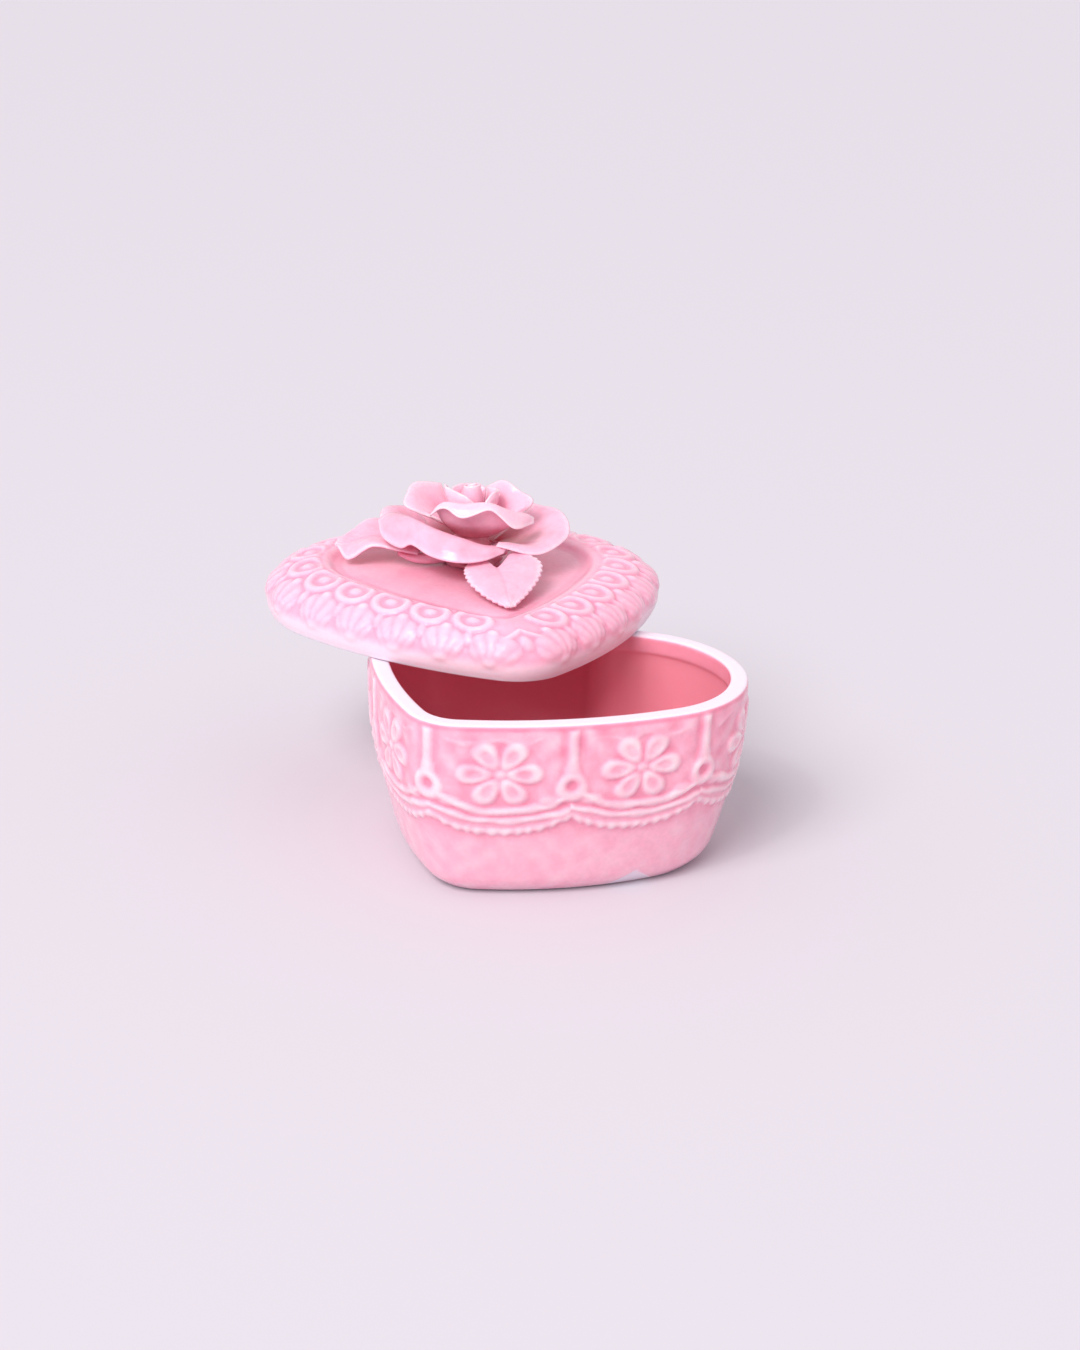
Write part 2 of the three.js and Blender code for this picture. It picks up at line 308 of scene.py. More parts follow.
# ---- bowl ----------------------------------------------------------------------------------------------
# The wall's profile: share of the height, and scale of the outline there
WALL = np.array([[0, FOOT_SCALE], [0.08, 0.85], [0.2, 0.89], [0.4, 0.938], [0.65, 0.985], [1, 1]])
WALL_CURVE = smooth_curve(WALL)


def wall_scale(z):
    return np.interp(np.asarray(z) / BOWL_H, WALL_CURVE[:, 0], WALL_CURVE[:, 1])


RIBS = np.array([0, 31.3, 62.6, 97, HALF])  # distances from the tip
FLOWER_Z, RING_Z = 32.1, 28.9  # middles of the flowers and of the ribs' rings
ROPE_PITCH = 2.75  # length of one lump of the rope
CHIP_AT, CHIP_H, CHIP_SLOPE = 50, 5, 0.62  # a chip at the foot: distance from the tip, height and slope
FLOOR_Z = 4.0  # the floor of the hollow
BOWL_COLS = 600


def bowl_relief(s, z):
    """Height of the cast lace pattern, in millimetres, at rim distance s from the tip and height z."""
    a = np.abs(s)
    panel = np.clip(np.searchsorted(RIBS, a, "right") - 1, 0, 3)
    lo, hi = RIBS[panel], RIBS[panel + 1]
    middle, half = (lo + hi) / 2, (hi - lo) / 2
    x = a - middle  # from the flower's middle
    side = np.clip(np.abs(x) / half, 0, 1)
    rib = np.minimum(a - lo, hi - a)  # distance from the nearer rib
    uneven = lumps(s, z, 2 * HALF, 5, 21)
    h = np.zeros_like(s)
    # swags: two soft cords, then a lumpy rope along the hem
    upper = 23.1 + np.where(x < 0, 5.6 * side**2.3, 3.6 * side**2.4) + 0.3 * uneven
    second = 20.7 + np.where(x < 0, 3.4, 2.4) * side**2 + 0.25 * uneven
    hem = 16.9 + 3.8 * side**2.4
    clear = ease((np.hypot(rib, z - RING_Z) - 1.9) / 0.9)  # the cord stops at the ring
    h = np.maximum(h, 0.85 * ridge(np.abs(z - upper), 2.6) * (0.88 + 0.12 * uneven) * clear)
    h = np.maximum(h, 0.72 * ridge(np.abs(z - second), 2.1))
    beat = np.cos(a / ROPE_PITCH * 2 * math.pi + 1.1 * uneven)
    rope = hem + 1.15 - 0.12 * beat
    h = np.maximum(h, (0.66 + 0.1 * beat) * ridge(np.abs(z - rope), 2.4 + 0.4 * beat))
    h = np.maximum(h, 0.3 * ease((z - rope) / 0.6) * ease((second - z) / 0.6))
    # soft pads where the cords meet the rib
    pad = dome(np.hypot((rib - 4.7) / 2.7, (z - 25.6) / 1.5), 1.0)
    h = np.maximum(h, 0.6 * pad)
    # flower of six looped petals
    fz = (z - FLOWER_Z) / 0.86
    r = np.hypot(x, fz)
    angle = np.arctan2(fz, x)
    nearest = np.round(angle / (math.pi / 3)) * (math.pi / 3)
    along = r * np.cos(angle - nearest) - 5.35
    across = r * np.sin(angle - nearest)
    loop = (np.hypot(along / 2.6, across / (1.6 + 0.14 * along)) - 1) * 1.8
    petal = ridge(np.abs(loop), 2.5)
    h = np.maximum(h, 0.7 * petal)
    h = np.maximum(h, 0.46 * ease(-loop * 2))
    h = np.maximum(h, 0.7 * dome(r, 1.5))
    flower = ease((9.8 - r) / 1.2)
    # rib with its ring
    flare = 2.8 + 1.3 * ease((35.5 - z) / 3.5)
    h = np.maximum(h, 0.66 * ridge(rib, flare) * ease((z - 31) / 1.2) * ease((42.2 - z) / 0.8))
    drop_z = z - RING_Z
    pinch = 1 - 0.06 * drop_z
    ring_d = np.hypot(rib / pinch, drop_z / 1.04) - 2.4
    h = np.maximum(h, 0.78 * ridge(np.abs(ring_d), 3.0))
    # mottled ground above the swags, and a thin wavy line under the rim
    free = (1 - flower) * ease((rib - 2.2) / 1.2)
    ground = ease((z - upper - 1.2) / 0.8) * free * ease((42.2 - z) / 0.8)
    h = np.maximum(h, ground * (0.14 + 0.1 * np.clip(lumps(s, z, 2 * HALF, 5, 3), -1, 1.3)))
    frill = 39.4 + 0.8 * np.sin(a * 0.55) + 0.3 * uneven
    return np.maximum(h, 0.3 * ridge(np.abs(z - frill), 1.6) * ease(rib - 3) ** 2)


def build_bowl():
    cols = BOWL_COLS
    where = stations(cols)
    s = where[0]
    foot = ((0, 14), (0, 7), (0, 3), (0, 1.9), (0.1, 1.2), (0.3, 0.55), (0.5, 0.2))
    wall = np.concatenate([np.arange(0.7, 4.6, 0.26), np.linspace(4.9, 15, 16), np.arange(15.34, 42.4, 0.34)])
    rows = [(z, i, "foot") for z, i in foot]  # height, inset, kind
    rows += [(z, 0, "wall") for z in wall]
    rows += [(42.6, 0.05, "lip"), (42.85, 0.22, "rim"), (42.98, 0.6, "rim")]
    rows += [(43, i, "rim") for i in (1.2, 1.9, 2.6, 3.1)]
    rows += [(42.96, 3.5, "rim"), (42.8, 3.8, "rim2"), (42.4, 3.95, "in")]
    rows += [(z, 3.95, "in") for z in (41.8, 41, 40.2, 39.5)]
    rows += [(39, 3.85, "in"), (38.6, 3.55, "in"), (38.2, 3.4, "in")]
    rows += [(z, 3.3, "in") for z in np.linspace(37.5, 10, 16)]
    hollow = ((8, 3.9), (6.4, 5), (5.2, 6.6), (4.5, 8.6), (4.1, 11), (FLOOR_Z, 14), (FLOOR_Z, 17))
    rows += [(z, i, "in") for z, i in hollow]
    points, tone, bare, inside = [], [], [], []
    relief = np.zeros((len(rows), cols))
    for n, (z, inset, kind) in enumerate(rows):
        if kind == "wall":
            relief[n] = bowl_relief(s, np.full(cols, z)) * ease((z - 13) / 2)
    smooth = blur(relief, 1, 1)
    pooled = blur(relief, 5, 5)
    tilt = lumps(s, np.zeros(cols), 2 * HALF, 18, 11)
    chip = CHIP_H - np.abs(s - CHIP_AT) * CHIP_SLOPE
    for n, (z, inset, kind) in enumerate(rows):
        p, normal, _ = ring(inset, where)
        k = float(wall_scale(max(z, 0)))
        shift = HEART_Y + FOOT_SHIFT * (1 - k) / (1 - FOOT_SCALE)
        out = smooth[n] if kind == "wall" else 0 * s
        if kind == "wall" and z < 5:
            out = out - 0.35 * ease((chip - z) / 1.2)
        if kind == "in":
            out = 0.1 * tilt
        xy = p * k + normal * np.reshape(out, (-1, 1))
        points.append(np.column_stack([xy[:, 0], xy[:, 1] + shift, np.full(cols, z)]))
        if kind == "wall":
            contrast = (relief[n] - pooled[n]) * 0.95 + (pooled[n] - 0.15) * 0.4
            base = 0.42 + 0.2 * (1 - ease((z - 14) / 5))
            lower = 0.1 * (1 - ease(z / 3))
            edge = -0.26 * ease((z - 41) / 1.2)
            mottle = (0.05 + 0.06 * ease((z - 26) / 4)) * lumps(s, np.full(cols, z), 2 * HALF, 5, 5)
            tone.append(np.clip(base + contrast + lower + edge + mottle, 0, 1))
        else:
            tone.append(np.full(cols, 0.3))
        inside.append(np.full(cols, 0.0 if kind != "in" or z > 42.3 else 0.6 if z > 38.9 else 1.0))
        if kind == "rim":
            bare.append(np.full(cols, 1.0))
        elif kind == "rim2":
            bare.append(np.full(cols, 0.8))
        elif kind == "foot":
            bare.append(np.full(cols, 1.0 if z < 0.2 else 0.55))
        elif kind == "wall" and z < 5:
            # the chip shows the white body
            bare.append(np.clip(ease((chip - z) / 0.25) + (0.4 if z < 0.8 else 0), 0, 1))
        else:
            bare.append(np.zeros(cols))
    centre = np.array([[0, 0, 0.0]])
    floor = np.array([[0, 0, FLOOR_Z]])
    allp = np.vstack([centre] + points + [floor])
    tones = np.concatenate([[0.5]] + tone + [[0.12]])
    bares = np.concatenate([[1]] + bare + [[0]])
    insides = np.concatenate([[0]] + inside + [[1]])
    layers = {"tone": tones, "bare": bares, "inside": insides}
    faces = skin(len(rows), cols)
    make_mesh("bowl", allp, faces, layers, bowl_glaze, "bowl", "base_bowl")


# ---- lid -----------------------------------------------------------------------------------------------
def to_row(x, y, z):
    """Lid coordinates to the row frame."""
    c, d = math.cos(LID_TURN), math.sin(LID_TURN)
    return np.stack([LID_AT[0] + x * c - y * d, LID_AT[1] + x * d + y * c, LID_Z + z], -1)


PANEL_Z = 10.1
UNDER_Z = 6.5  # underside of the lid's top
# The lid's section, inset and height, up the outside from the lower edge to the panel
LID_OUT = np.array(
    [[0, 0], [-0.7, 1.8], [-0.9, 3.6], [-0.3, 5.8], [1.4, 8], [4, 9.9], [6.5, 10.9], [9, 11.4]]
    + [[10.9, 11.55], [11.9, 11.3], [12.8, 10.8], [13.8, 10.3], [15.2, PANEL_Z]]
)
# and down the inside
LID_IN = np.array([[11.5, UNDER_Z], [8.6, 7.1], [5.7, 6.4], [3.9, 5.1], [3, 3.4], [3.4, 1.4], [4, 0.15]])
MOTIFS = 22
PANEL_SHIFT = np.array([-1.0, -0.5])  # the sunk panel is a little off centre,
PANEL_STRETCH = np.array([0.93, 1.05])  # narrower and longer than the lid's outline,
PANEL_TURN = math.radians(-3)  # and slightly askew in it
PANEL_TONE = 0.52
PANEL_INSET = 11.5  # inset by which the outline has turned into the panel's
MOTIF_INSET = 6  # inset of the line along which the motifs are spaced out
RINGS_Q, SHELLS_Q = 15.6, 7.3  # how far up the outside the middles of the two rows of motifs are
LID_COLS = 660


def lid_relief(u, q, pitch):
    """Height of the lid's cast pattern.

    u counts motifs from the tip. q, the distance up the outside, and pitch, a motif's width, are in
    millimetres.
    """
    h = np.zeros_like(u)
    # open rings with a dot, in the row next to the panel; a small peak takes the place of the ring at the tip
    k = np.round(u)
    x = (u - k) * pitch
    y = q - RINGS_Q
    r = np.hypot(x / 1.1, y)
    open_top = ease((3.4 - y) / 1.2)
    tip = (k == 0).astype(float)
    h = np.maximum(h, 0.66 * ridge(np.abs(r - 3.7), 2.2) * open_top * (1 - tip))
    h = np.maximum(h, 0.5 * dome(r, 1.5) * (1 - tip))
    peak = 0.6 * ridge(np.abs(y + 2.2 + 0.9 * np.abs(x)), 2.0)
    h = np.maximum(h, tip * peak * ease((4.4 - np.abs(x)) / 0.8))
    # shells in the outer row, half a step along, their ribs fanning out from the rim
    j = np.floor(u) + 0.5
    x2 = (u - j) * pitch
    y2 = q - SHELLS_Q
    rr = np.hypot(x2 / (5.0 + 0.12 * y2), y2 / 4.5)
    fan = np.arctan2(x2, y2 + 5.6)
    body = dome(rr, 1.0) ** 0.7
    groove = np.abs(np.cos(fan * 8)) ** 0.6
    fade = 0.45 + 0.55 * ease((q - 4) / 2.5)
    h = np.maximum(h, body * (0.42 + 0.4 * groove * ease((y2 + 3.4) / 1.5)) * fade)
    h = np.maximum(h, 0.6 * dome(np.hypot(x2 / 1.3, y2 + 2.6), 1.5))
    h = np.maximum(h, 0.78 * dome(np.hypot(x2, y2 - 4.1), 1.45))
    # small leaves between the shells
    sprig = dome(np.hypot(x / 1.1, (q - 9.4) / 2.2), 1.0)
    return np.maximum(h, 0.5 * sprig)


def build_lid():
    cols = LID_COLS
    where = stations(cols)
    knots = smooth_curve(LID_OUT)
    q_table = np.concatenate([[0], np.cumsum(np.hypot(*np.diff(knots, axis=0).T))])
    total = q_table[-1]
    steps = np.concatenate([[0.0, 0.25], np.arange(0.6, total - 0.2, 0.3), [total]])
    inset = np.interp(steps, q_table, knots[:, 0])
    height = np.interp(steps, q_table, knots[:, 1])
    slope_i = np.gradient(inset, steps)
    slope_z = np.gradient(height, steps)
    inner = smooth_curve(LID_IN)[::12]
    lower_edge = ((3.4, 0.02), (2.4, 0), (1.2, 0), (0.35, 0.02))
    # inset, height, distance up the outside, kind
    rows = [(i, z, None, "under") for i, z in (*inner, *lower_edge)]
    first = len(rows)
    rows += [(i, z, q, "outside") for i, z, q in zip(inset, height, steps)]
    rows += [(i, PANEL_Z, None, "panel") for i in (16.2, 17, 18)]
    _, _, along = ring(MOTIF_INSET - LID_OVERHANG, where)
    full = 2 * sum(abs(r * (a1 - a0)) for _, _, r, a0, a1, _ in arcs(MOTIF_INSET - LID_OVERHANG))
    u = along / full * MOTIFS
    relief = np.zeros((len(rows), cols))
    outs = []
    c, d = math.cos(PANEL_TURN), math.sin(PANEL_TURN)
    for n, (i, z, q, kind) in enumerate(rows):
        p, normal, along = ring(i - LID_OVERHANG, where)
        share = 0.0 if kind == "under" else max(0.0, min(1.0, i / PANEL_INSET))
        turned = np.stack([p[:, 0] * c - p[:, 1] * d, p[:, 0] * d + p[:, 1] * c], 1)
        moved = turned * PANEL_STRETCH + PANEL_SHIFT
        outs.append((p + (moved - p) * share, normal))
        if kind == "outside":
            pitch = np.abs(np.gradient(along) / np.gradient(u))
            pitch = np.clip(np.where(np.isfinite(pitch), pitch, 8), 4, 12)
            ends = ease((q - 2) / 1.2) * ease((total - 4 - q) / 0.6)
            relief[n] = lid_relief(u, np.full(cols, q), pitch) * ends
    smooth = blur(relief, 1, 1)
    pooled = blur(relief, 5, 5)
    points, tone, bare = [], [], []
    for n, (i, z, q, kind) in enumerate(rows):
        p, normal = outs[n]
        dx = dz = 0.0
        if kind == "outside":
            m = n - first
            length = math.hypot(slope_i[m], slope_z[m]) or 1
            dx, dz = slope_z[m] / length, slope_i[m] / length
        xy = p + normal * (smooth[n] * dx)[:, None]
        points.append(to_row(xy[:, 0], xy[:, 1], z + smooth[n] * dz))
        if kind == "outside":
            contrast = (relief[n] - pooled[n]) * 0.92 + (pooled[n] - 0.25) * 0.1
            # Painted light: the tone is raised towards the lower edge so that the downward-facing band, which
            # lies in shade, comes out pale.
            base = 0.5 + 0.5 * (1 - ease((q - 2.5) / 3))
            bead = 0.16 * ease((q - (total - 5)) / 0.8) * ease((total - 2.6 - q) / 0.8)
            fall = -0.2 * ease((q - (total - 3.6)) / 2)
            tone.append(np.clip(base + contrast + bead + fall, 0, 1))
            # Raw clay colour mixed into the lower band: thin glaze near the edge, and further up painted light
            # that lifts the band's shade.
            thin_glaze_and_painted_light = 0.6 * (1 - ease((q - 1.5) / 3.8))
            bare.append(np.full(cols, max(1 - ease((q - 0.5) / 0.5), thin_glaze_and_painted_light)))
        elif kind == "panel":
            tone.append(np.full(cols, PANEL_TONE))
            bare.append(np.zeros(cols))
        else:
            tone.append(np.full(cols, 0.3))
            bare.append(np.full(cols, 1.0 if z < 0.6 else 0.0))
    under = to_row(np.array([0.0]), np.array([-HEART_Y]), np.array([UNDER_Z]))
    panel = to_row(np.array([0.0]), np.array([-HEART_Y]), np.array([PANEL_Z]))
    allp = np.vstack([under] + points + [panel])
    tones = np.concatenate([[0.3]] + tone + [[PANEL_TONE]])
    bares = np.concatenate([[0]] + bare + [[0]])
    layers = {"tone": tones, "bare": bares}
    faces = skin(len(rows), cols)
    make_mesh("lid", allp, faces, layers, lid_glaze, "lid", "lid_shell")


# ---- rose ----------------------------------------------------------------------------------------------
ROSE_Z = 10.5
ROSE_AT = (1.6, 1.0)
ROSE_TURN = math.radians(-18.7)  # the rose's own x and y axes, turned in the lid


def rose_to_row(p):
    """Rose coordinates (x right, y back, z up from the rose's foot) to the row frame."""
    c, d = math.cos(ROSE_TURN), math.sin(ROSE_TURN)
    x = ROSE_AT[0] + p[..., 0] * c - p[..., 1] * d
    y = ROSE_AT[1] + p[..., 0] * d + p[..., 1] * c
    return to_row(x, y, ROSE_Z + p[..., 2])


def add_to_lid(name, points, faces, tone, material):
    """Fully glazed piece that rides the lid, from points in rose coordinates."""
    layers = {"tone": tone, "bare": np.zeros(len(tone))}
    make_mesh(name, rose_to_row(points), faces, layers, material, "lid", name)


def spline_axis(grid, count, axis):
    """Catmull-Rom through the grid's points along one axis."""
    grid = np.moveaxis(grid, axis, 0)
    k = np.concatenate([[2 * grid[0] - grid[1]], grid, [2 * grid[-1] - grid[-2]]])
    t = np.linspace(0, len(grid) - 1, count)
    i = np.minimum(t.astype(int), len(grid) - 2)
    f = (t - i).reshape((-1,) + (1,) * (grid.ndim - 1))
    a, b, c, d = (k[i + n] for n in range(4))
    return np.moveaxis(catmull_rom(a, b, c, d, f), 0, axis)


def unit_normals(surface):
    """Unit normals of a grid of points."""
    normal = np.cross(np.gradient(surface, axis=1), np.gradient(surface, axis=0))
    return normal / (np.linalg.norm(normal, axis=2, keepdims=True) + 1e-9)


def sheet_mesh(surface, thickness, edge_share=0.5):
    """Closed sheet round a grid of points, thinner towards its edges, with a rounded rim.

    Returns its points and faces, and each point's nearness to the edge and share of the way to the lip.
    """
    rows, cols, _ = surface.shape
    normal = unit_normals(surface)
    v = np.linspace(0, 1, rows)[:, None]
    u = np.linspace(-1, 1, cols)[None, :]
    near = np.maximum(ease((v - 0.82) / 0.18), ease((np.abs(u) - 0.86) / 0.14)) * np.ones((rows, cols))
    t = thickness * (1 - edge_share * near)[..., None] / 2
    top, low = surface + normal * t, surface - normal * t
    loop = [(0, c) for c in range(cols)] + [(r, cols - 1) for r in range(1, rows)]
    loop += [(rows - 1, c) for c in range(cols - 2, -1, -1)] + [(r, 0) for r in range(rows - 2, 0, -1)]
    rim = []
    for k, (r, c) in enumerate(loop):
        before, after = loop[k - 1], loop[(k + 1) % len(loop)]
        tangent = surface[after] - surface[before]
        out = np.cross(tangent, normal[r, c])
        out /= np.linalg.norm(out) + 1e-9
        rim.append(surface[r, c] + out * float(t[r, c, 0]) * 0.9)
    n = rows * cols
    index = np.arange(n).reshape(rows, cols)
    a, b, c, d = index[:-1, :-1], index[:-1, 1:], index[1:, 1:], index[1:, :-1]
    faces = np.stack([a, b, c, d], -1).reshape(-1, 4).tolist()
    faces += (np.stack([a, d, c, b], -1).reshape(-1, 4) + n).tolist()
    m = len(loop)
    for k in range(m):
        i, j = index[loop[k]], index[loop[(k + 1) % m]]
        ri, rj = 2 * n + k, 2 * n + (k + 1) % m
        faces.append([int(j), int(i), ri, rj])
        faces.append([rj, ri, int(i) + n, int(j) + n])
    points = np.vstack([top.reshape(-1, 3), low.reshape(-1, 3), np.array(rim)])
    edge = np.concatenate([near.ravel(), near.ravel(), np.ones(m)])
    depth = np.concatenate([np.repeat(np.linspace(0, 1, rows), cols)] * 2 + [np.ones(m)])
    return points, faces, edge, depth


def ruffle(surface, amount, seed):
    """Small hand-made unevenness that grows towards the lip."""
    rows, cols, _ = surface.shape
    v = np.linspace(0, 1, rows)[:, None]
    u = np.linspace(0, 1, cols)[None, :]
    rng = np.random.default_rng(seed)
    wave = sum(
        np.sin(2 * math.pi * (f * u + g * v) + rng.uniform(0, 6.28)) / f
        for f, g in ((1.5, 0.4), (2.5, 0.8), (4, 1.2), (6.5, 0.6))
    )
    return surface + unit_normals(surface) * (amount * wave * v**1.5)[..., None]


PETAL_ROWS, PETAL_COLS = 34, 48
PETAL_THICKNESS = 1.0
PETAL_RUFFLE = 0.22


def build_petal(name, grid, seed, base_tone):
    surface = spline_axis(spline_axis(np.array(grid, float), PETAL_ROWS, 0), PETAL_COLS, 1)
    surface = ruffle(surface, PETAL_RUFFLE, seed)
    points, faces, edge, depth = sheet_mesh(surface, PETAL_THICKNESS)
    # Painted shade: the tone is deepened towards each petal's root, where the petals shade each other; the lip
    # edges are paler where the glaze runs thin.
    tone = np.clip(base_tone - 0.44 * (1 - ease(depth * 1.5)) + 0.22 * edge**2, 0, 1)
    add_to_lid(name, points, faces, tone, petal_glaze)


